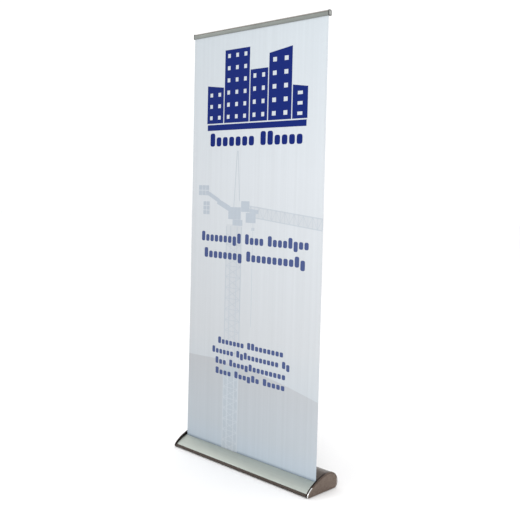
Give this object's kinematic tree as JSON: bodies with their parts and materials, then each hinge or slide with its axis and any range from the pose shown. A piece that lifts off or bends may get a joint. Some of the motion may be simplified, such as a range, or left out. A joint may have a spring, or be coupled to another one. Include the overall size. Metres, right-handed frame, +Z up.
{
  "type": "roll-up banner stand",
  "caption": "Free-standing roll-up banner: printed sheet held between a rounded spring-roller base and a clamping top rail, propped by a sectional pole behind.",
  "frame": {"origin": "centre of the base's footprint at floor level", "axes": "+X to the right as the banner is read, front faces -Y, +Z up"},
  "size_m": [0.883, 0.205, 2.0708],
  "materials": {
    "chromed_abs": "chrome-plated, polished",
    "polished_aluminium": "polished extrusion, streaked along its length",
    "satin_aluminium": "satin anodised",
    "rail_aluminium": "anodised",
    "zinc_plated_steel": "zinc plated",
    "spring_steel": "oiled wire",
    "black_plastic": "moulded",
    "grey_plastic": "moulded",
    "rubber": "matt",
    "printed_banner": "printed polyester film, silk-matt",
    "leader_film": "plain film"
  },
  "bodies": {
    "base": {"base_housing": "polished_aluminium", "front_cover": "satin_aluminium", "end_cap_left": "chromed_abs", "end_cap_right": "chromed_abs", "roller_bracket_left": "zinc_plated_steel", "roller_bracket_right": "zinc_plated_steel", "bracket_screw_left_1": "zinc_plated_steel", "bracket_screw_left_2": "zinc_plated_steel", "bracket_screw_left_3": "zinc_plated_steel", "bracket_screw_right_1": "zinc_plated_steel", "bracket_screw_right_2": "zinc_plated_steel", "bracket_screw_right_3": "zinc_plated_steel", "foot_front_left": "rubber", "foot_front_right": "rubber", "foot_rear_left": "rubber", "foot_rear_right": "rubber", "pole_socket": "black_plastic", "idler_pin": "zinc_plated_steel", "spring_shaft": "zinc_plated_steel", "spring_anchor": "grey_plastic"},
    "roller": {"roller_tube": "zinc_plated_steel", "idler_plug": "grey_plastic", "drive_plug": "grey_plastic", "torsion_spring": "spring_steel", "leader_roll": "leader_film"},
    "top_rail": {"rail_back": "rail_aluminium", "rail_end_left": "grey_plastic", "rail_end_right": "grey_plastic", "hook_cradle": "grey_plastic", "banner_sheet": "printed_banner"},
    "rail_jaw": {"rail_front_jaw": "rail_aluminium"},
    "pole_lower_section": {"pole_foot": "black_plastic", "pole_lower": "satin_aluminium", "ferrule_lower": "zinc_plated_steel"},
    "pole_middle_section": {"pole_middle": "satin_aluminium", "ferrule_upper": "zinc_plated_steel"},
    "pole_upper_section": {"pole_upper": "satin_aluminium", "pole_hook": "black_plastic"}
  },
  "joints": [
    {"name": "banner_retract", "type": "slide", "parent": "base", "child": "top_rail", "axis": [0, 0, -1], "range_m": [0, 1.97], "deforming": ["banner_sheet"]},
    {"name": "roller_spin", "type": "hinge", "parent": "base", "child": "roller", "pos_m": [0, -0.01222, 0.032], "axis": [1, 0, 0], "range_deg": [0, 5762]},
    {"name": "rail_jaw_open", "type": "hinge", "parent": "top_rail", "child": "rail_jaw", "pos_m": [0, -0.0329, 2.062], "axis": [-1, 0, 0], "range_deg": [0, 40]},
    {"name": "pole_lift", "type": "slide", "parent": "base", "child": "pole_lower_section", "axis": [0, 0, 1], "range_m": [0, 0.06]},
    {"name": "pole_middle_pull", "type": "slide", "parent": "pole_lower_section", "child": "pole_middle_section", "axis": [0, 0, 1], "range_m": [0, 0.06]},
    {"name": "pole_upper_pull", "type": "slide", "parent": "pole_middle_section", "child": "pole_upper_section", "axis": [0, 0, 1], "range_m": [0, 0.06]}
  ],
  "couplings": [
    {"joint": "roller_spin", "follows": "banner_retract", "rad_per_m": 51.031}
  ]
}
